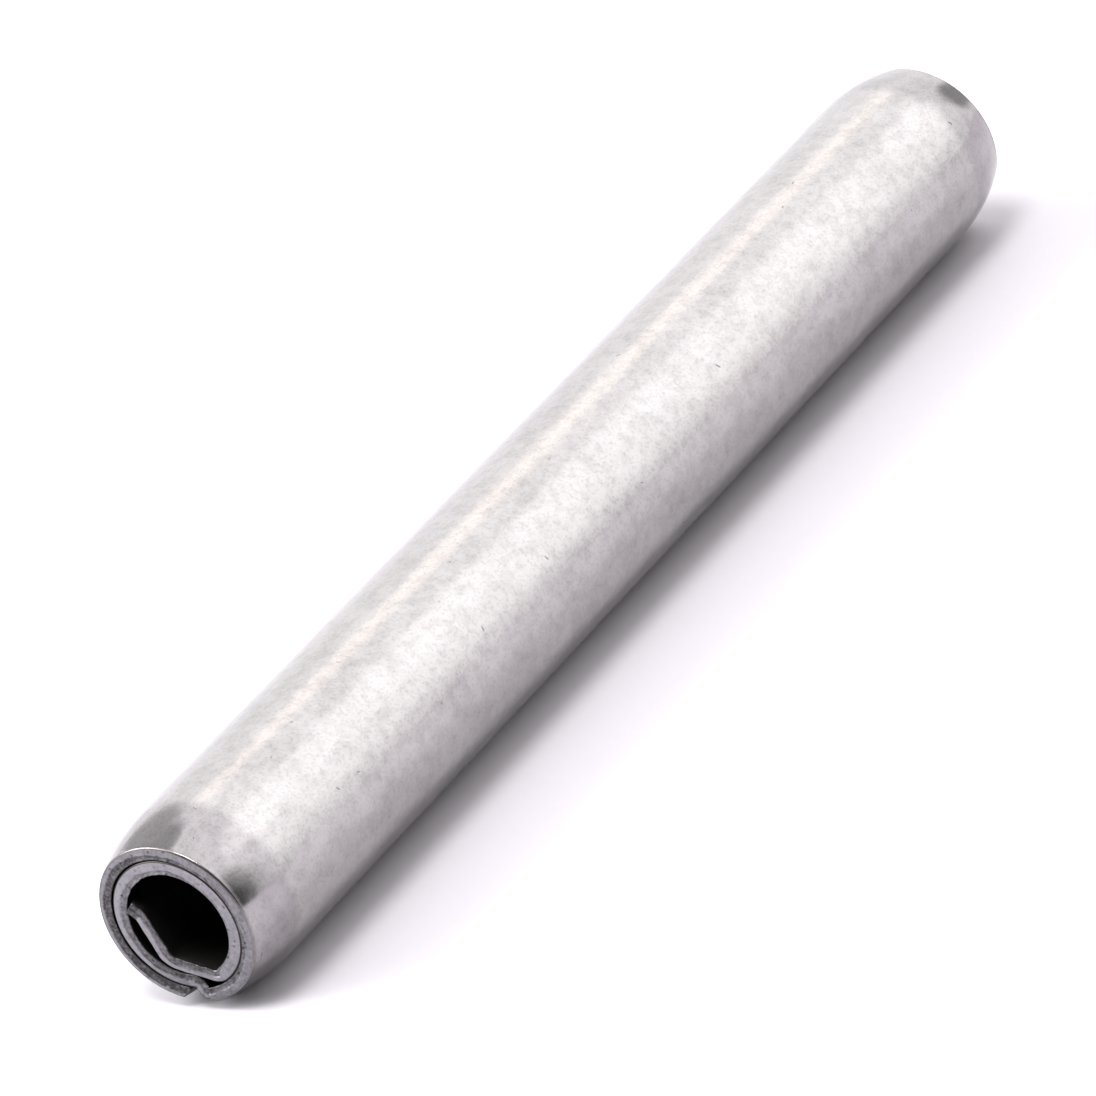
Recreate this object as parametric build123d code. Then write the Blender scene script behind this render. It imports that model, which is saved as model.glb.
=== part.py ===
from build123d import *
from math import acos, atan2, cos, degrees, hypot, radians, sin, tan
import os

# Coiled spring pin: one strip of spring steel, rolled into a spiral of a little over two turns, with
# both ends swaged in so that the pin starts easily in its hole. The axis lies along X, with the origin
# at the middle of the pin. The seam is underneath, where the pin rests on the seam's two lips.

# Driving dimensions, in millimetres and degrees.
pin_length = 50.0
body_diameter = 6.4  # over the outer turn, before the pin is driven
strip_thickness = 0.47
turn_gap = 0.03  # left between the turns by spring-back
strip_edge_radius = 0.05  # on the corners along the strip's two edges

# The swage, which tapers each end in.
swage_depth = 0.365  # how far the outer turn is pressed in at the end face
swage_length = 2.35
swage_rows = 6
end_wear = 0.04  # worn off both sides of the strip at each end face, at 45 degrees

# The seam, from the strip's outer end to the jog that takes the strip in to its inner turn.
seam_width = 1.33  # round the outside of the body
seam_bevel = 30.0  # how far the strip's outer end slants off square
jog_inside_radius = 0.03

# The tongue is the strip's inner end, folded across the bore to start the roll. It has a heel, a
# flat, a knee, another flat, and a tip that bends back to meet the inner turn.
heel_radius = 0.5
heel_to_jog = 0.66  # along the first flat, from the heel to where the flat passes the jog
knee_radius = 0.5
knee_bend = 56.6
tip_radius = 0.37
tip_bend = 32.0
tip_length = 0.36
tip_angle = 101.0  # where it meets the inner turn, round from the foot of the pin

body_radius = body_diameter / 2
jog_radius = strip_thickness / 2 + jog_inside_radius

# All radii of bends are at the middle of the strip. Angles round a section count from straight down,
# at the foot of the pin, towards +Y, which is the way the strip is rolled.


def polar(radius, angle):
    """The point of a section at this radius and angle."""
    return Vector(sin(radians(angle)), -cos(radians(angle))) * radius


def direction(angle):
    """The way the strip runs where a turn is at this angle."""
    return Vector(cos(radians(angle)), sin(radians(angle)))


def cross(a, b):
    return a.X * b.Y - a.Y * b.X


def corner(first, second, opposite):
    """The angle between two sides of a triangle, from its three sides."""
    return degrees(acos((first**2 + second**2 - opposite**2) / (2 * first * second)))


def chord(heading, radius, bend):
    """The way from the start of a bend to its end."""
    return (polar(radius, heading + bend) - polar(radius, heading)) * (1 if bend > 0 else -1)


def turn_radii(outer_radius):
    """The outer turn and the inner turn."""
    outer_turn = outer_radius - strip_thickness / 2
    return outer_turn, outer_turn - strip_thickness - turn_gap


def jog_angles(outer_radius):
    """The jog's bend in, its bend back, and the angle that it takes up round the pin."""
    outer_turn, inner_turn = turn_radii(outer_radius)
    first = outer_turn - jog_radius
    second = inner_turn + jog_radius
    taken = corner(first, second, 2 * jog_radius)
    bend_in = 180 - corner(first, 2 * jog_radius, second)
    return bend_in, bend_in - taken, taken


def seam_angles():
    """How far the strip's outer end and the jog stand from the foot, so that both lips are level."""
    width = seam_width / body_radius
    lip_radius = jog_radius + strip_thickness / 2
    lip_centre = body_radius - lip_radius
    rise = body_radius - lip_centre * cos(width)
    run = lip_centre * sin(width)
    end = acos(lip_radius / hypot(rise, run)) - atan2(run, rise)
    return degrees(end), degrees(width - end)


def heel(inner_turn, jog_end):
    """Where the tongue leaves the inner turn, and its bend there.

    The first flat passes between the centres of the heel and the jog, and clears the jog by one gap.
    """
    heel_centre = inner_turn - heel_radius
    jog_centre = inner_turn + jog_radius
    across = heel_radius + jog_radius + strip_thickness + turn_gap
    start = jog_end - corner(heel_centre, jog_centre, hypot(across, heel_to_jog))
    centres = polar(jog_centre, jog_end) - polar(heel_centre, start)
    return start, degrees(atan2(centres.Y, centres.X) + atan2(across, heel_to_jog)) - start


def tongue(inner_turn, heel_start, heel_bend):
    """The tongue's steps. Its flats are as long as it takes to bring the tip to the inner turn."""
    first = heel_start + heel_bend
    second = first + knee_bend
    last = second - tip_bend
    bore_radius = inner_turn - strip_thickness / 2
    tip = polar(bore_radius - turn_gap, tip_angle) - polar(strip_thickness / 2, last)
    start = polar(inner_turn, heel_start) + chord(heel_start, heel_radius, heel_bend)
    end = tip - direction(last) * tip_length - chord(second, tip_radius, -tip_bend)
    flats = end - start - chord(first, knee_radius, knee_bend)
    between = cross(direction(first), direction(second))
    return [
        (0, heel_radius, heel_bend),
        (cross(flats, direction(second)) / between, knee_radius, knee_bend),
        (cross(direction(first), flats) / between, tip_radius, -tip_bend),
    ]


def strip_path(outer_radius):
    """Where the strip starts, and its steps as (straight run, bend radius, bend angle).

    A bend's angle is positive where it follows the roll.
    """
    outer_turn, inner_turn = turn_radii(outer_radius)
    start, jog_start = seam_angles()
    jog_in, jog_back, jog_taken = jog_angles(outer_radius)
    jog_end = jog_taken - jog_start
    heel_start, heel_bend = heel(inner_turn, jog_end)
    turns = [
        (0, outer_turn, 360 - jog_start - start),
        (0, jog_radius, jog_in),
        (0, jog_radius, -jog_back),
        (0, inner_turn, 360 + heel_start - jog_end),
    ]
    return start, turns + tongue(inner_turn, heel_start, heel_bend)


def strip_side(start, steps, offset):
    """One side of the strip, this far outside its middle. The strip's outer end is cut on a slant."""
    straight, outer_turn, roll = steps[0]
    side_radius = outer_turn + offset
    slant = degrees((strip_thickness / 2 - offset) * tan(radians(seam_bevel)) / side_radius)
    heading = start - slant
    point = polar(side_radius, heading)
    edges = []
    for straight, radius, bend in [(straight, outer_turn, roll + slant)] + steps[1:]:
        if straight:
            edges.append(Line(point, point + direction(heading) * straight))
            point = edges[-1] @ 1
        side_radius = radius + (offset if bend > 0 else -offset)
        edges.append(JernArc(point, direction(heading), side_radius, bend))
        point = edges[-1] @ 1
        heading += bend
    return edges + [Line(point, point + direction(heading) * tip_length)]


def section(outer_radius, wear=0.0):
    """The rolled strip cut square across the pin, with this much worn off both its sides."""
    start, steps = strip_path(outer_radius)
    half = strip_thickness / 2 - wear
    outside = strip_side(start, steps, half)
    inside = strip_side(start, steps, -half)
    ends = [Line(outside[0] @ 0, inside[0] @ 0), Line(outside[-1] @ 1, inside[-1] @ 1)]
    face = make_face(outside + inside + ends)
    corners = [face.vertices().sort_by_distance(end @ place)[0] for end in ends for place in (0, 1)]
    return fillet(corners, strip_edge_radius)


def swaged_radius(from_end):
    """The outer radius at this distance from an end face. The swage runs out smoothly in the body."""
    return body_radius - swage_depth * (1 - from_end / swage_length) ** 2


def pin():
    """The section carried along the axis, in straight rows through each swaged end."""
    row = (swage_length - end_wear) / swage_rows
    places = [end_wear + row * number for number in range(swage_rows + 1)]
    near_end = [(0, section(swaged_radius(0), end_wear))]
    near_end += [(from_end, section(swaged_radius(from_end))) for from_end in places]
    far_end = [(pin_length - from_end, face) for from_end, face in reversed(near_end)]
    sections = [Plane.YZ.offset(place - pin_length / 2) * face for place, face in near_end + far_end]
    return loft(sections, ruled=True)


os.makedirs("parts", exist_ok=True)
export_step(pin(), "parts/spring_pin.step")
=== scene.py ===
import bmesh
import bpy
import numpy as np
from math import acos, atan2, cos, degrees, hypot, pi, radians, sin, tan
from mathutils import Matrix, Vector, noise


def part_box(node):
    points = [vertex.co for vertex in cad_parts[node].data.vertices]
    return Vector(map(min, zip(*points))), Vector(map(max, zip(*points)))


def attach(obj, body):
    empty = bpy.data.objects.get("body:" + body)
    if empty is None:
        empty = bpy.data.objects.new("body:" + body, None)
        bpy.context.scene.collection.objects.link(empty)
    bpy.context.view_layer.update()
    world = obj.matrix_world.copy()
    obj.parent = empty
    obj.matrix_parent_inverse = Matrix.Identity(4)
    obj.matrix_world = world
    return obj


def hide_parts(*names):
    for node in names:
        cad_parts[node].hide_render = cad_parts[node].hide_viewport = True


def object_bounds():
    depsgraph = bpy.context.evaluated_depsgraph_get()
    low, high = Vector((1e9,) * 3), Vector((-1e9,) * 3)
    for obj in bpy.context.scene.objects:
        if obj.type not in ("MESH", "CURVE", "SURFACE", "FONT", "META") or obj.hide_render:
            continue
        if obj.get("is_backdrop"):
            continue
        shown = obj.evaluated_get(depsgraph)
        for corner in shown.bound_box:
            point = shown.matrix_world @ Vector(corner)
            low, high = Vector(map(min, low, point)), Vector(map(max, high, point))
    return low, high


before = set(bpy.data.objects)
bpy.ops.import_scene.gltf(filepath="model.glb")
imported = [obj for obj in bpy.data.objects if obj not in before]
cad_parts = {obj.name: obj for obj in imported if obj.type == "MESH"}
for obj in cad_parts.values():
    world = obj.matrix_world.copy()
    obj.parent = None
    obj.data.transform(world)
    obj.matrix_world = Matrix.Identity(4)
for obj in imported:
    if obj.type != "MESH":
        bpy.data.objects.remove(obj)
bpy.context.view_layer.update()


# ---- The rolled strip -------------------------------------------------------------------------
# The whole pin is one strip of carbon spring steel, rolled up to a little over two turns and cropped
# to length. A die then swages both ends in. The mesh follows the strip from its outer end, under the
# pin, round both turns and along the tongue, with its worn rims, torn faces and sprung gap.

mm = 0.001
low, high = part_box("spring_pin")
pin_length = (high.x - low.x) / mm
body_radius = (high.y - low.y) / 2 / mm

# The strip's sizes in millimetres, and its angles round a section in degrees from the foot.
strip_thickness = 0.47
turn_gap = 0.03
strip_edge_radius = 0.05
swage_depth = 0.365
swage_length = 2.35
seam_width = 1.33
seam_bevel = 30.0
jog_radius = strip_thickness / 2 + 0.03
heel_radius = 0.5
heel_to_jog = 0.66
knee_radius = 0.5
knee_bend = 56.6
tip_radius = 0.37
tip_bend = 32.0
tip_length = 0.36
tip_angle = 101.0

# How finely the mesh follows the strip: points on each step, across its thickness and down a rim,
# and rows through a swage and along the body.
turn_points = 280
inner_points = 230
bend_points = 10
flat_points = 9
tip_points = 8
across_points = 13
rim_rows = 7
swage_rows = 12
body_rows = 24

# The last points before a rounded corner, as shares of the rounding that are left.
corner_points = np.array([0.6, 0.3, 0.08, 0])


def polar(radius, angle):
    """A point of a section, as an array (y, z)."""
    return np.stack([radius * np.sin(np.radians(angle)), -radius * np.cos(np.radians(angle))], -1)


def direction(angle):
    """The way the strip runs where it has turned through this angle."""
    return np.stack([np.cos(np.radians(angle)), np.sin(np.radians(angle))], -1)


def corner(first, second, opposite):
    """The angle between two sides of a triangle, from its three sides."""
    return degrees(acos((first**2 + second**2 - opposite**2) / (2 * first * second)))


def chord(heading, radius, bend):
    """The way from the start of a bend to its end."""
    return (polar(radius, heading + bend) - polar(radius, heading)) * (1 if bend > 0 else -1)


def seam_angles():
    """How far the strip's outer end and the jog stand from the foot, so that both lips are level."""
    width = seam_width / body_radius
    lip_radius = jog_radius + strip_thickness / 2
    lip_centre = body_radius - lip_radius
    rise = body_radius - lip_centre * cos(width)
    run = lip_centre * sin(width)
    end = acos(lip_radius / hypot(rise, run)) - atan2(run, rise)
    return degrees(end), degrees(width - end)


def evenly(count):
    """Shares of a step, evenly spaced, without its start."""
    return np.arange(1, count + 1) / count


def closing_up(count, length):
    """Shares of a step this long, closing up towards a corner that is rounded off at its end."""
    rounding = strip_edge_radius / length
    return np.append(np.linspace(0, 1 - rounding, count)[1:], 1 - rounding * corner_points)


def tongue(inner_turn, jog_end):
    """Where the tongue leaves the inner turn, and its steps.

    A step is (straight run, bend radius, bend, shares of it at which the mesh has points).
    """
    heel_centre = inner_turn - heel_radius
    jog_centre = inner_turn + jog_radius
    across = heel_radius + jog_radius + strip_thickness + turn_gap
    start = jog_end - corner(heel_centre, jog_centre, hypot(across, heel_to_jog))
    centres = polar(jog_centre, jog_end) - polar(heel_centre, start)
    first = degrees(atan2(centres[1], centres[0]) + atan2(across, heel_to_jog))
    second = first + knee_bend
    last = second - tip_bend
    bore_radius = inner_turn - strip_thickness / 2
    tip = polar(bore_radius - turn_gap, tip_angle) - polar(strip_thickness / 2, last)
    flats = tip - direction(last) * tip_length - chord(second, tip_radius, -tip_bend)
    flats -= polar(inner_turn, start) + chord(start, heel_radius, first - start)
    flats -= chord(first, knee_radius, knee_bend)
    runs = np.linalg.solve(np.stack([direction(first), direction(second)], -1), flats)
    return start, [
        (0, heel_radius, first - start, evenly(bend_points)),
        (runs[0], 0, 0, evenly(flat_points)),
        (0, knee_radius, knee_bend, evenly(bend_points)),
        (runs[1], 0, 0, evenly(flat_points)),
        (0, tip_radius, -tip_bend, evenly(bend_points)),
        (tip_length, 0, 0, closing_up(tip_points, tip_length)),
    ]


def strip_line(outer_radius, offset):
    """The strip's middle (y, z), its headings, and its runs from the outer end, for these offsets.

    Each is an array with a row for each place along the strip and a column for each offset.
    """
    outer_turn = outer_radius - strip_thickness / 2
    inner_turn = outer_turn - strip_thickness - turn_gap
    start, jog_start = seam_angles()
    last = 360.0 - jog_start
    taken = corner(outer_turn - jog_radius, inner_turn + jog_radius, 2 * jog_radius)
    jog_in = 180 - corner(outer_turn - jog_radius, 2 * jog_radius, inner_turn + jog_radius)
    jog_end = taken - jog_start
    heel_start, tongue_steps = tongue(inner_turn, jog_end)
    steps = [
        (0, jog_radius, jog_in, evenly(bend_points)),
        (0, jog_radius, taken - jog_in, evenly(bend_points)),
        (0, inner_turn, 360 + heel_start - jog_end, evenly(inner_points)),
    ] + tongue_steps
    slant = np.degrees((strip_thickness / 2 - offset) * tan(radians(seam_bevel)) / outer_turn)
    opening = 1 - closing_up(turn_points, outer_turn * radians(last))[::-1]
    headings = [start - slant + np.append(opening, 1)[:, None] * (last - start + slant)]
    points = [polar(outer_turn, headings[0])]
    runs = [outer_turn * np.radians(headings[0] - start)]
    place = polar(outer_turn, last)
    at = last
    for straight, radius, bend, shares in steps:
        turned = at + bend * shares
        if straight:
            step = place + direction(at) * straight * shares[:, None]
        else:
            step = place + (polar(radius, turned) - polar(radius, at)) * (1 if bend > 0 else -1)
        length = straight + radius * radians(abs(bend))
        points.append(np.repeat(step[:, None], len(offset), 1))
        headings.append(np.repeat(turned[:, None], len(offset), 1))
        runs.append(runs[-1][-1] + np.repeat(length * shares[:, None], len(offset), 1))
        place = step[-1]
        at += bend
    return np.concatenate(points), np.concatenate(headings), np.concatenate(runs)


def swaged_radius(from_end):
    """The outer radius at this distance from an end face."""
    return body_radius - swage_depth * max(0, 1 - from_end / swage_length) ** 2


def smooth(value, start, end):
    """Goes smoothly from 0 at the start to 1 at the end."""
    part = np.clip((value - start) / (end - start), 0, 1)
    return part * part * (3 - 2 * part)


def grain(places, size, seed):
    """Even noise from -1 to 1 at each of these places, with grains of about this size."""
    flat = places.reshape(-1, places.shape[-1]) / size
    return np.array([noise.noise(Vector((x, y, seed))) for x, y in flat]).reshape(places.shape[:-1])


# What cropping and swaging leave at an end face, in millimetres. The rims are worn round, the metal is
# upset where the die pushed on it, and each turn shows a smooth land outside and a torn band inside.
inner_rim = 0.035
rim_spare = 0.02
upset_length = 0.5
upset_grain = 0.25
upset_unevenness = 0.5
torn_depth = 0.045
torn_mean, torn_swing = 0.8, 0.7  # shares of that depth
torn_grain = 0.13
finer_share, finer_by = 0.6, 2.4  # a second, finer grain in the torn metal
land_depth = 0.004

# The land's edge wanders and frays. These are shares of the strip's thickness, with grains in
# millimetres. The tear sets in over tear_ramp, and leaves out what the rims take.
land_wander, wander_grain = 0.14, 0.9
land_fray, fray_grain = 0.08, 0.12
fray_stretch = 5.0  # how much longer the fraying is across the thickness than along the strip
tear_ramp = (-0.05, 0.06)
rim_share = 0.02

# The seeds of the marks at the near and the far end, so that the two ends differ.
face_seeds = (3.0, 7.0)
upset_seeds = (11.0, 12.0)

# Round the strip's heading at a face, in degrees: the outer rim's radius, the land's share of the
# thickness, how dull the land is and the torn band, and how far the bore side is upset.
face_wear = (
    (0, 0.07, 0.15, 0.7, 0.9, 0.0),
    (24, 0.07, 0.3, 0.2, 0.9, 0.0),
    (60, 0.07, 0.3, 0.05, 0.85, 0.0),
    (100, 0.08, 0.3, 0.15, 0.85, 0.0),
    (140, 0.06, 0.42, 0.25, 0.8, 0.0),
    (175, 0.06, 0.65, 0.3, 0.75, 0.0),
    (205, 0.09, 0.8, 0.4, 0.6, 0.0),
    (240, 0.08, 0.9, 0.4, 0.55, 0.0),
    (290, 0.05, 0.8, 0.35, 0.6, 0.0),
    (345, 0.07, 0.5, 0.45, 0.8, 0.0),
    (400, 0.06, 0.45, 0.1, 0.75, 0.0),
    (440, 0.05, 0.42, 0.05, 0.6, 0.05),
    (500, 0.05, 0.6, 0.05, 0.55, 0.07),
    (545, 0.05, 0.75, 0.1, 0.5, 0.03),
    (600, 0.05, 0.95, 0.15, 0.45, 0.0),
    (690, 0.05, 0.9, 0.2, 0.45, 0.0),
    (708, 0.04, 0.5, 0.15, 0.5, -0.04),
    (734, 0.03, 0.4, 0.1, 0.65, -0.08),
    (762, 0.03, 0.4, 0.1, 0.65, -0.06),
    (791, 0.03, 0.4, 0.05, 0.65, -0.06),
)
# Painted shade: the bore-side rims and the strip's cut ends are darkened by this much more, for the gaps
# between the turns and the bore.
painted_rim_shade = 0.25  # on top of the torn band's

# The tongue's other side is upset too, less before its knee, and its tip is torn. The places are in
# millimetres back from the tip, from where each sets in to where it is full.
tongue_upset = 0.07
upset_before_knee = 0.3
tongue_reach = (3.6, 2.8)
knee_reach = (2.3, 1.9)
tip_reach = (0.55, 0.3)
tip_dullness = 0.8

# The inner turn has sprung a little to one side. The shift sets in past the jog, over these headings
# and these runs along the strip.
inner_shift = (-0.03, 0.0)
shift_headings = (336, 404)
shift_runs = (14, 18)


def wear_at(heading):
    """The columns of face_wear at these headings."""
    angles, *columns = zip(*face_wear)
    return [np.interp(heading, angles, column) for column in columns]


def face_relief(places, share, land, seed):
    """How far the face is torn away at these places, and where it is torn, from 0 to 1."""
    wander = grain(places * (1, 0), wander_grain, seed)
    fray = grain(places * (1, 1 / fray_stretch), fray_grain, seed + 1)
    edge = land + land_wander * wander + land_fray * fray
    torn = smooth(share, edge + tear_ramp[0], edge + tear_ramp[1])
    inside = smooth(share, 0, rim_share) * smooth(1 - share, 0, rim_share)
    finer = grain(places, torn_grain / finer_by, seed + 3)
    rough = grain(places, torn_grain, seed + 2) + finer_share * finer
    torn_away = torn * torn_depth * (torn_mean + torn_swing * rough)
    return inside * (torn_away + (1 - torn) * land_depth * rough), torn


def strip_sides(run, depth, rim_in, bore_upset, seed):
    """How far the strip's outer and inner sides stand off its middle, near an end and its corners."""
    to_tip = run.max() - run
    from_corner = np.minimum(run[:, :1] - run[0, 0], to_tip[:, :1])
    square = np.maximum(0, strip_edge_radius - from_corner)
    come_in = strip_edge_radius - np.sqrt(np.maximum(0, strip_edge_radius**2 - square**2))
    half = strip_thickness / 2 - come_in - rim_in
    uneven = 1 + upset_unevenness * grain(np.stack([run, depth], -1), upset_grain, seed)
    upset = np.maximum(0, 1 - depth / upset_length) ** 2 * uneven
    past_knee = upset_before_knee + (1 - upset_before_knee) * smooth(to_tip, *knee_reach)
    outer = half + upset * tongue_upset * smooth(to_tip, *tongue_reach) * past_knee
    return outer, half + upset * bore_upset


def strip_rows():
    """The rows along the pin: distance from the near end, and how far round the rim, as an angle."""
    first = max(row[1] for row in face_wear) + rim_spare
    rim = [(0.0, angle) for angle in np.linspace(0, 90, rim_rows)]
    swage = [(first + (swage_length - first) * row / swage_rows, 90.0) for row in range(swage_rows + 1)]
    body_length = pin_length - 2 * swage_length
    body = [(swage_length + body_length * row / body_rows, 90.0) for row in range(1, body_rows)]
    far = [(pin_length - place, angle) for place, angle in reversed(rim + swage)]
    return rim + swage + body + far


def lattice():
    """Every point of the strip, by place along it, place across its thickness, and row.

    With them come how dark and rough each point of the strip's cut faces looks: the torn band's, and
    painted shade on the bore-side rims and the strip's cut ends.
    """
    share = np.linspace(0, 1, across_points)
    sheets = []
    dull_and_shade_sheets = []
    for place, angle in strip_rows():
        far = place > pin_length / 2
        from_end = pin_length - place if far else place
        middle, heading, run = strip_line(swaged_radius(from_end), strip_thickness * (0.5 - share))
        rim, land, land_dull, torn_dull, bore_upset = wear_at(heading)
        rim = np.where(share < 0.5, rim, inner_rim)
        depth = from_end + rim * (1 - cos(radians(angle)))
        rim_in = rim * (1 - sin(radians(angle)))
        outer, inner = strip_sides(run, depth, rim_in, bore_upset, upset_seeds[far])
        level = outer * (1 - share) - inner * share
        shift = smooth(heading, *shift_headings) * smooth(run, *shift_runs)
        points = middle + polar(1, heading) * level[..., None]
        points += shift[..., None] * np.array(inner_shift)
        # Off the end faces, painted shade darkens the bore-side rims and the strip's cut ends.
        dull_and_shade = np.minimum(1, torn_dull + painted_rim_shade)
        if angle == 0:
            places = np.stack([run, np.broadcast_to(share * strip_thickness, run.shape)], -1)
            torn_away, torn = face_relief(places, share, land, face_seeds[far])
            depth = depth + torn_away
            dull_and_shade = land_dull + (torn_dull - land_dull) * torn
            dull_and_shade = dull_and_shade + (tip_dullness - dull_and_shade) * smooth(run.max() - run, *tip_reach)
        x = pin_length - depth if far else depth
        sheets.append(np.concatenate([(x - pin_length / 2)[..., None], points], -1))
        dull_and_shade_sheets.append(dull_and_shade)
    return np.stack(sheets, 2) * mm, np.stack(dull_and_shade_sheets, 2)


def quads(grid):
    """The faces of a sheet of point numbers."""
    return np.stack([grid[:-1, :-1], grid[1:, :-1], grid[1:, 1:], grid[:-1, 1:]], -1).reshape(-1, 4)


points, dull_and_shade = lattice()
shell = np.ones(points.shape[:3], bool)
shell[1:-1, 1:-1, 1:-1] = False
number = np.full(points.shape[:3], -1)
number[shell] = np.arange(shell.sum())
sides = [quads(grid) for grid in (number[:, 0], number[:, -1, rim_rows - 1:1 - rim_rows])]
faces = [quads(grid) for grid in (number[:, :, 0], number[:, :, -1], number[0], number[-1])]
bore_rims = [quads(grid) for grid in (number[:, -1, :rim_rows], number[:, -1, -rim_rows:])]
mesh = bpy.data.meshes.new("rolled_strip")
mesh.from_pydata(points[shell].tolist(), [], np.concatenate(sides + faces + bore_rims).tolist())
is_cut = np.arange(len(mesh.polygons)) >= sum(len(group) for group in sides)
mesh.polygons.foreach_set("material_index", is_cut.astype(int))
mesh.attributes.new("dull_and_shade", "FLOAT", "POINT").data.foreach_set("value", dull_and_shade[shell])
shape = bmesh.new()
shape.from_mesh(mesh)
bmesh.ops.recalc_face_normals(shape, faces=shape.faces)
shape.to_mesh(mesh)
shape.free()
mesh.polygons.foreach_set("use_smooth", [True] * len(mesh.polygons))
pin = bpy.data.objects.new("rolled_strip", mesh)
bpy.context.collection.objects.link(pin)


def linear(hex_colour):
    """An sRGB hex colour as linear values, with full alpha."""
    values = [int(hex_colour[place:place + 2], 16) / 255 for place in (1, 3, 5)]
    return [v / 12.92 if v <= 0.04045 else ((v + 0.055) / 1.055) ** 2.4 for v in values] + [1.0]


def add(tree, kind, inputs=(), **settings):
    """Adds a node with its settings, and its inputs as values or as other nodes' outputs."""
    new = tree.nodes.new(kind)
    for name, value in settings.items():
        setattr(new, name, value)
    for name, value in dict(inputs).items():
        if isinstance(value, bpy.types.NodeSocket):
            tree.links.new(value, new.inputs[name])
        else:
            new.inputs[name].default_value = value
    return new.outputs


# Carbon spring steel, hardened and tumbled: a satin grey with a fine speckle of tumbling marks, paler
# clouds where the tumbling bit less, and a few nicks. The swaging die has burnished the tapered ends,
# so they mirror what is round them.
steel = bpy.data.materials.new("tumbled_spring_steel")
steel.use_nodes = True
tree = steel.node_tree
tree.nodes.clear()
where = add(tree, "ShaderNodeTexCoord")["Object"]
spot = add(tree, "ShaderNodeSeparateXYZ", {0: where})
around = add(tree, "ShaderNodeMath", {0: spot["Y"], 1: spot["Z"]}, operation="ARCTAN2")[0]
arc = add(tree, "ShaderNodeMath", {0: around, 1: body_radius * mm}, operation="MULTIPLY")[0]
unrolled = add(tree, "ShaderNodeCombineXYZ", {0: spot["X"], 1: arc})[0]

# The speckle is mostly pale with darker dips. The clouds are drawn out along the pin.
speckle_size = 0.1 * mm
blotch_size = 0.42 * mm
cloud_size = 1.7 * mm
cloud_stretch = 1.5
speckle = add(tree, "ShaderNodeTexNoise", {"Vector": where, "Scale": 1 / speckle_size, "Detail": 1.0})[0]
blotch = add(tree, "ShaderNodeTexNoise", {
    "Vector": where, "Scale": 1 / blotch_size, "Detail": 3.0, "Roughness": 0.6})[0]
drawn = add(tree, "ShaderNodeVectorMath", {0: unrolled, 1: (1 / cloud_stretch, 1, 1)},
            operation="MULTIPLY")[0]
cloud = add(tree, "ShaderNodeTexNoise", {
    "Vector": drawn, "Scale": 1 / cloud_size, "Detail": 6.0, "Roughness": 0.62})[0]
dips = add(tree, "ShaderNodeMapRange", {"Value": speckle, "From Min": 0.28, "From Max": 0.52},
           interpolation_type="SMOOTHSTEP")[0]
blotchy = add(tree, "ShaderNodeMapRange", {"Value": blotch, "From Min": 0.3, "From Max": 0.62},
              interpolation_type="SMOOTHSTEP")[0]
cloudy = add(tree, "ShaderNodeMapRange", {"Value": cloud, "From Min": 0.36, "From Max": 0.62},
             interpolation_type="SMOOTHSTEP")[0]

# Nicks are short scratches that lie any way, where pins struck each other in the tumbler.
nick_spacing = 3.0 * mm
nick_length = 0.22 * mm
nick_width = 0.06 * mm
nicks = add(tree, "ShaderNodeTexVoronoi", {"Vector": unrolled, "Scale": 1 / nick_spacing},
            voronoi_dimensions="2D")
nick_chance = add(tree, "ShaderNodeSeparateColor", {0: nicks["Color"]})
nick_turn = add(tree, "ShaderNodeMath", {0: nick_chance["Red"], 1: 2 * pi}, operation="MULTIPLY")[0]
from_nick = add(tree, "ShaderNodeVectorMath", {0: unrolled, 1: nicks["Position"]}, operation="SUBTRACT")[0]
along_nick = add(tree, "ShaderNodeVectorRotate", {"Vector": from_nick, "Angle": nick_turn},
                 rotation_type="Z_AXIS")[0]
nick_place = add(tree, "ShaderNodeVectorMath", {0: along_nick, 1: (2 / nick_length, 2 / nick_width, 0)},
                 operation="MULTIPLY")[0]
nick_reach = add(tree, "ShaderNodeVectorMath", {0: nick_place}, operation="LENGTH")["Value"]
nick_left = add(tree, "ShaderNodeMath", {0: nick_chance["Green"], 1: nick_reach}, operation="SUBTRACT")[0]
nick = add(tree, "ShaderNodeMapRange", {"Value": nick_left, "From Min": -0.1, "From Max": 0.3},
           interpolation_type="SMOOTHSTEP")[0]

# The dips, the blotches and the clouds share one tone, and the nicks are darker.
dip_share, blotch_share, cloud_share = 0.34, 0.38, 0.28
dark_grey = linear("#928f8f")
pale_grey = linear("#b1aeae")
nick_grey = linear("#7a7676")
tone = add(tree, "ShaderNodeMath", {0: dips, 1: dip_share}, operation="MULTIPLY")[0]
tone = add(tree, "ShaderNodeMath", {0: blotchy, 1: blotch_share, 2: tone}, operation="MULTIPLY_ADD")[0]
tone = add(tree, "ShaderNodeMath", {0: cloudy, 1: cloud_share, 2: tone}, operation="MULTIPLY_ADD")[0]
colour = add(tree, "ShaderNodeMix", {0: tone, 6: dark_grey, 7: pale_grey}, data_type="RGBA")[2]
colour = add(tree, "ShaderNodeMix", {0: nick, 6: colour, 7: nick_grey}, data_type="RGBA")[2]
satin_roughness = add(tree, "ShaderNodeMapRange", {
    "Value": cloud, "From Min": 0.3, "From Max": 0.7, "To Min": 0.17, "To Max": 0.26})[0]

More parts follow.
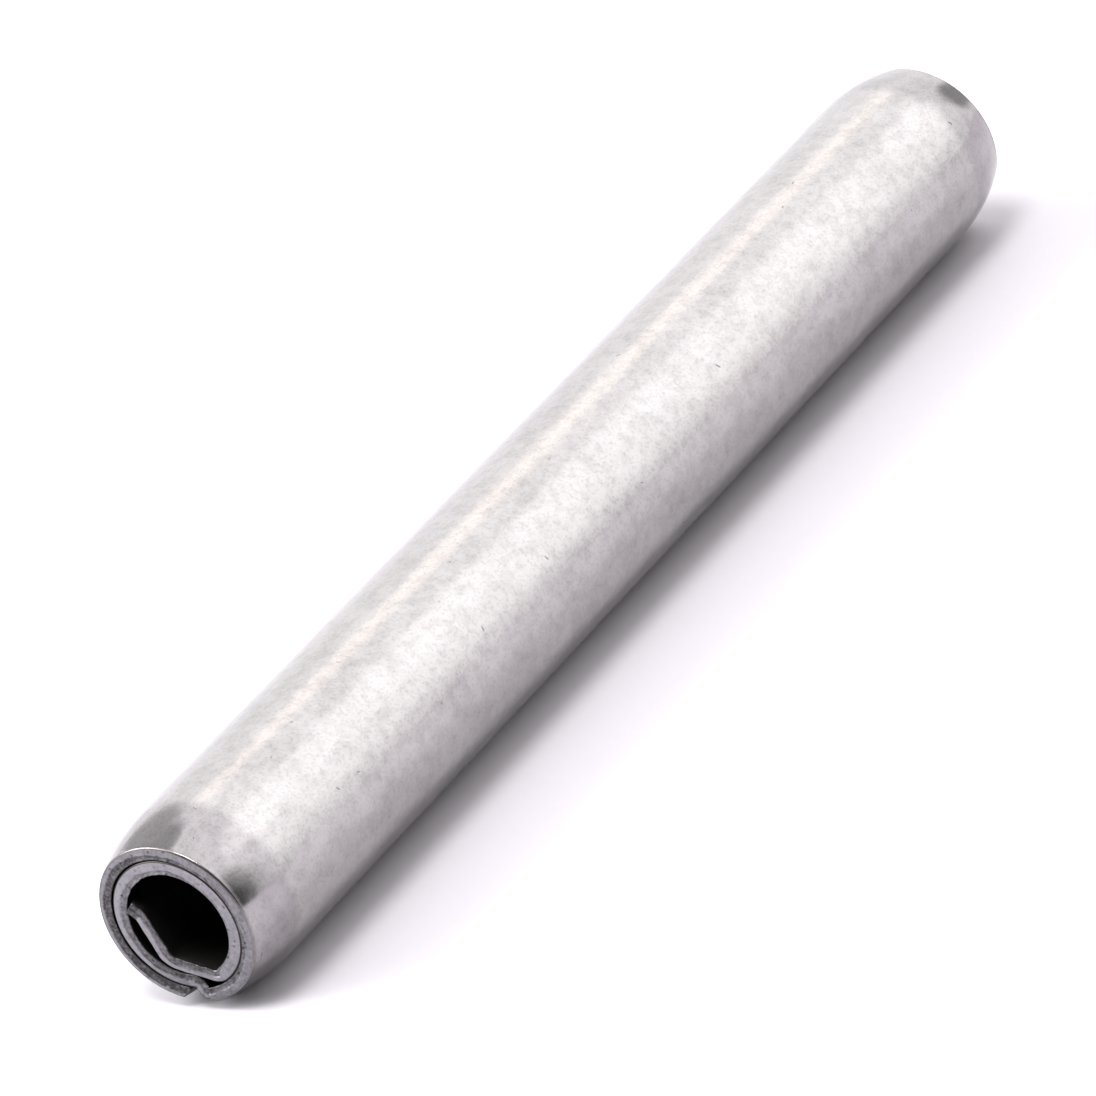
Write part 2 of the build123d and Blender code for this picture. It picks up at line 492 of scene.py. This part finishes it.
# Inside the roll the steel is painted dark grey, as painted shade in the bore and between the turns, and
# is rougher. Its surfaces all lie nearer the axis than the shaded radius, even under the swages.
bore_shade_radius = 2.72 * mm
clear_of_shade_radius = 2.8 * mm
bore_shade_grey = linear("#5c5957")
bore_roughness = 0.45
across = add(tree, "ShaderNodeCombineXYZ", {1: spot["Y"], 2: spot["Z"]})[0]
from_axis = add(tree, "ShaderNodeVectorMath", {0: across}, operation="LENGTH")["Value"]
clear_of_shade = add(tree, "ShaderNodeMapRange", {
    "Value": from_axis, "From Min": bore_shade_radius, "From Max": clear_of_shade_radius})[0]
# Painted shade: the steel inside the roll turns dark grey.
colour = add(tree, "ShaderNodeMix", {0: clear_of_shade, 6: bore_shade_grey, 7: colour}, data_type="RGBA")[2]

# The die's burnish sets in over this length, where each swage runs out in the body.
burnish_fade = 0.5
burnish_tint = linear("#e8e7e9")
burnish_roughness = 0.15
from_middle = add(tree, "ShaderNodeMath", {0: spot["X"]}, operation="ABSOLUTE")[0]
burnished = add(tree, "ShaderNodeMapRange", {
    "Value": from_middle, "From Min": (pin_length / 2 - swage_length) * mm,
    "From Max": (pin_length / 2 - swage_length + burnish_fade) * mm}, interpolation_type="SMOOTHSTEP")[0]
colour = add(tree, "ShaderNodeMix", {0: burnished, 6: colour, 7: burnish_tint},
             data_type="RGBA", blend_type="MULTIPLY")[2]
roughness = add(tree, "ShaderNodeMix", {0: burnished, 2: satin_roughness, 3: burnish_roughness})[0]
roughness = add(tree, "ShaderNodeMix", {0: clear_of_shade, 2: bore_roughness, 3: roughness})[0]

# The rims are scuffed, where the cropping burr was rubbed off.
scuff_length = 0.12
scuff_tint = linear("#c8c4c2")
scuff_roughness = 0.32
scuffed = add(tree, "ShaderNodeMapRange", {
    "Value": from_middle, "From Min": (pin_length / 2 - scuff_length) * mm,
    "From Max": pin_length / 2 * mm})[0]
colour = add(tree, "ShaderNodeMix", {0: scuffed, 6: colour, 7: scuff_tint},
             data_type="RGBA", blend_type="MULTIPLY")[2]
roughness = add(tree, "ShaderNodeMix", {0: scuffed, 2: roughness, 3: scuff_roughness})[0]

# Heights in millimetres: a slight waviness from rolling, the speckle, and the nicks.
wave_size = 1.1 * mm
wave_height = 0.018
speckle_height = 0.0008
nick_depth = 0.006
waves = add(tree, "ShaderNodeTexNoise", {"Vector": drawn, "Scale": 1 / wave_size, "Detail": 2.0})[0]
height = add(tree, "ShaderNodeMath", {0: waves, 1: wave_height}, operation="MULTIPLY")[0]
height = add(tree, "ShaderNodeMath", {0: speckle, 1: speckle_height, 2: height},
             operation="MULTIPLY_ADD")[0]
height = add(tree, "ShaderNodeMath", {0: nick, 1: -nick_depth, 2: height}, operation="MULTIPLY_ADD")[0]
bump = add(tree, "ShaderNodeBump", {"Strength": 1.0, "Distance": mm, "Height": height})[0]
surface = add(tree, "ShaderNodeBsdfPrincipled", {
    "Base Color": colour, "Metallic": 1.0, "Roughness": roughness, "Normal": bump})[0]
add(tree, "ShaderNodeOutputMaterial", {"Surface": surface})
mesh.materials.append(steel)

# The same steel where it was sheared: a smooth grey land where the tool cut, and a darker band with a
# broken grain and small pits where the metal tore. The grain is drawn coarser than it is, so that it
# shows.
sheared = bpy.data.materials.new("sheared_spring_steel")
sheared.use_nodes = True
tree = sheared.node_tree
tree.nodes.clear()
where = add(tree, "ShaderNodeTexCoord")["Object"]
# The dull attribute also carries painted shade on the bore-side rims and the strip's cut ends.
dull_and_shade_here = add(tree, "ShaderNodeAttribute", attribute_name="dull_and_shade")["Fac"]
crumb_size = 0.11 * mm
crumb_height = 0.005
patch_size = 0.35 * mm
pit_spacing = 0.3 * mm
pit_size = 0.15 * mm
land_grey = linear("#929095")
torn_grey = linear("#424041")
crumb = add(tree, "ShaderNodeTexNoise", {"Vector": where, "Scale": 1 / crumb_size, "Detail": 3.0})[0]
patch = add(tree, "ShaderNodeTexNoise", {
    "Vector": where, "Scale": 1 / patch_size, "Detail": 3.0, "Roughness": 0.6})[0]
broken = add(tree, "ShaderNodeMath", {0: crumb, 1: patch}, operation="ADD")[0]
unevenness = add(tree, "ShaderNodeMapRange", {
    "Value": broken, "From Min": 0.7, "From Max": 1.3, "To Min": -1.0, "To Max": 1.0})[0]
spread = add(tree, "ShaderNodeMapRange", {"Value": dull_and_shade_here, "To Min": 0.17, "To Max": 0.38})[0]
dull_and_shade_level = add(tree, "ShaderNodeMath", {0: unevenness, 1: spread, 2: dull_and_shade_here},
               operation="MULTIPLY_ADD")[0]
from_pit = add(tree, "ShaderNodeTexVoronoi", {"Vector": where, "Scale": 1 / pit_spacing})["Distance"]
pit = add(tree, "ShaderNodeMapRange", {
    "Value": from_pit, "From Min": 0.5 * pit_size / pit_spacing, "From Max": 0.0, "To Max": 0.7})[0]
dull_and_shade_level = add(tree, "ShaderNodeMath", {0: dull_and_shade_level, 1: pit}, operation="ADD")[0]
dull_and_shade_level = add(tree, "ShaderNodeClamp", {0: dull_and_shade_level})[0]
colour = add(tree, "ShaderNodeMix", {0: dull_and_shade_level, 6: land_grey, 7: torn_grey}, data_type="RGBA")[2]
roughness = add(tree, "ShaderNodeMapRange", {"Value": dull_and_shade_level, "To Min": 0.28, "To Max": 0.5})[0]
height = add(tree, "ShaderNodeMath", {0: crumb, 1: crumb_height}, operation="MULTIPLY")[0]
bump = add(tree, "ShaderNodeBump", {"Strength": 1.0, "Distance": mm, "Height": height})[0]
surface = add(tree, "ShaderNodeBsdfPrincipled", {
    "Base Color": colour, "Metallic": 1.0, "Roughness": roughness, "Normal": bump})[0]
add(tree, "ShaderNodeOutputMaterial", {"Surface": surface})
mesh.materials.append(sheared)

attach(pin, "root")
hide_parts("spring_pin")


# ---- The table --------------------------------------------------------------------------------
# A plain sheet of white matt board, which the pin lies on. Its fibres give its white a slight
# unevenness, and are drawn coarser than they are, so that it shows.
floor_size = 0.6
fibre_size = 0.3 * mm
board_white = linear("#cbc8cd")
fibre_white = linear("#cecbd0")
half = floor_size / 2
floor_corners = [(-half, -half, low.z), (half, -half, low.z), (half, half, low.z), (-half, half, low.z)]
floor_mesh = bpy.data.meshes.new("table")
floor_mesh.from_pydata(floor_corners, [], [(0, 1, 2, 3)])
floor = bpy.data.objects.new("table", floor_mesh)
bpy.context.collection.objects.link(floor)
board = bpy.data.materials.new("matt_white_board")
board.use_nodes = True
tree = board.node_tree
tree.nodes.clear()
where = add(tree, "ShaderNodeTexCoord")["Object"]
fibre = add(tree, "ShaderNodeTexNoise", {"Vector": where, "Scale": 1 / fibre_size, "Detail": 2.0})[0]
colour = add(tree, "ShaderNodeMix", {0: fibre, 6: board_white, 7: fibre_white}, data_type="RGBA")[2]
surface = add(tree, "ShaderNodeBsdfPrincipled", {
    "Base Color": colour, "Roughness": 0.9, "Specular IOR Level": 0.1})[0]
add(tree, "ShaderNodeOutputMaterial", {"Surface": surface})
floor_mesh.materials.append(board)
floor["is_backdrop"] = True


# ---- The light --------------------------------------------------------------------------------
# A white cloth tent, lit from all round, with its dark front opening round the camera. Lamps stand
# behind the cloth. The tent is a little dimmer low down, most of all at the front.
tent_front = 1.65
tent_back = 1.7
tent_top = 2.0
scene = bpy.context.scene
scene.view_settings.view_transform = "Standard"
world = bpy.data.worlds.new("light_tent")
world.use_nodes = True
scene.world = world
tree = world.node_tree
tree.nodes.clear()
toward = add(tree, "ShaderNodeTexCoord")["Generated"]
side = add(tree, "ShaderNodeSeparateXYZ", {0: toward})
low_down = add(tree, "ShaderNodeMapRange", {
    "Value": side["Y"], "From Min": -1.0, "From Max": 1.0, "To Min": tent_front, "To Max": tent_back})[0]
overhead = add(tree, "ShaderNodeMapRange", {"Value": side["Z"], "From Min": 0.0, "From Max": 0.45},
               interpolation_type="SMOOTHSTEP")[0]
tent = add(tree, "ShaderNodeMix", {0: overhead, 2: low_down, 3: tent_top})[0]


def toward_sky(azimuth, elevation):
    """A direction, by its azimuth from +X towards +Y and its elevation, in degrees."""
    flat = cos(radians(elevation))
    return flat * cos(radians(azimuth)), flat * sin(radians(azimuth)), sin(radians(elevation))


# Azimuth, elevation, reach and blurred edge in degrees, and the share of the tent's light left.
dark_patches = {
    "camera_opening": (-160, 12, 48, 10, 0.06),
    "front_wall": (-115, 5, 46, 12, 0.06),
    "front_top": (-120, 42, 26, 6, 0.05),
    "front_seam": (-84, 15, 11, 3, 0.13),
    "back_seam": (58, 58, 12, 4, 0.36),
    "back_wall": (84, 32, 34, 5, 0.45),
    "back_corner": (44, 15, 15, 6, 0.9),
    "far_gap": (-5, 12, 10, 3, 0.33),
}
light_left = 1.0
for azimuth, elevation, reach, blur, left in dark_patches.values():
    near = add(tree, "ShaderNodeVectorMath", {0: toward, 1: toward_sky(azimuth, elevation)},
               operation="DOT_PRODUCT")["Value"]
    seen = add(tree, "ShaderNodeMapRange", {
        "Value": near, "From Min": cos(radians(reach + blur)), "From Max": cos(radians(reach - blur)),
        "To Min": 1.0, "To Max": left}, interpolation_type="SMOOTHSTEP")[0]
    light_left = add(tree, "ShaderNodeMath", {0: light_left, 1: seen}, operation="MINIMUM")[0]
brightness = add(tree, "ShaderNodeMath", {0: tent, 1: light_left}, operation="MULTIPLY")[0]
background = add(tree, "ShaderNodeBackground", {"Color": linear("#fffeff"), "Strength": brightness})[0]
add(tree, "ShaderNodeOutputWorld", {"Surface": background})

# Azimuth, elevation and reach in degrees, radiance on top of the tent's, and tint.
lamp_distance = 0.5
lamps = {
    "lamp_overhead": (-168, 73, 11, 14.5, "#ffffff"),
    "lamp_side": (115, 33, 20, 8.5, "#ffffff"),
    "lamp_end": (134, 28, 12, 5.0, "#ffffff"),
    "lamp_back": (28, 37, 7, 0.6, "#fff1d4"),
    "lamp_front": (-26, 38, 15, 0.45, "#ffffff"),
    "lamp_front_high": (-47, 50, 11, 0.45, "#ffffff"),
    "lamp_front_low": (-43, 19, 9, 0.35, "#ffffff"),
}
for name, (azimuth, elevation, reach, radiance, tint) in lamps.items():
    away = Vector(toward_sky(azimuth, elevation))
    light = bpy.data.lights.new(name, "AREA")
    light.shape = "DISK"
    light.size = 2 * lamp_distance * tan(radians(reach))
    light.color = linear(tint)[:3]
    light.energy = radiance * (pi * light.size / 2) ** 2
    lamp = bpy.data.objects.new(name, light)
    facing = away.to_track_quat("Z", "Y").to_matrix().to_4x4()
    lamp.matrix_world = Matrix.Translation(away * lamp_distance) @ facing
    bpy.context.collection.objects.link(lamp)


# ---- The camera -------------------------------------------------------------------------------
# It looks down at the near end from the left, turned a little on its own axis. Its azimuth turns it
# about Z from facing +Y, and its focal length is given as a multiple of the picture's width.
camera_azimuth = -52.14
camera_elevation = 27.09
camera_roll = 16.04
camera_distance = 340.49 * mm
camera_target = Vector((-1.626, 0, -0.381)) * mm
focal_ratio = 9.5095438
sensor_width = 36.0

ahead = Vector((-sin(radians(camera_azimuth)) * cos(radians(camera_elevation)),
                cos(radians(camera_azimuth)) * cos(radians(camera_elevation)),
                -sin(radians(camera_elevation))))
camera_data = bpy.data.cameras.new("camera")
camera_data.sensor_width = sensor_width
camera_data.lens = sensor_width * focal_ratio
camera_data.clip_start = 0.01
camera_data.clip_end = 10.0
camera = bpy.data.objects.new("camera", camera_data)
level_right = ahead.cross(Vector((0, 0, 1))).normalized()
level_up = level_right.cross(ahead)
roll = radians(camera_roll)
right = level_right * cos(roll) - level_up * sin(roll)
up = level_up * cos(roll) + level_right * sin(roll)
turn = Matrix((right, up, -ahead)).transposed().to_4x4()
camera.matrix_world = Matrix.Translation(camera_target - ahead * camera_distance) @ turn
bpy.context.collection.objects.link(camera)
scene.camera = camera

low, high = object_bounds()
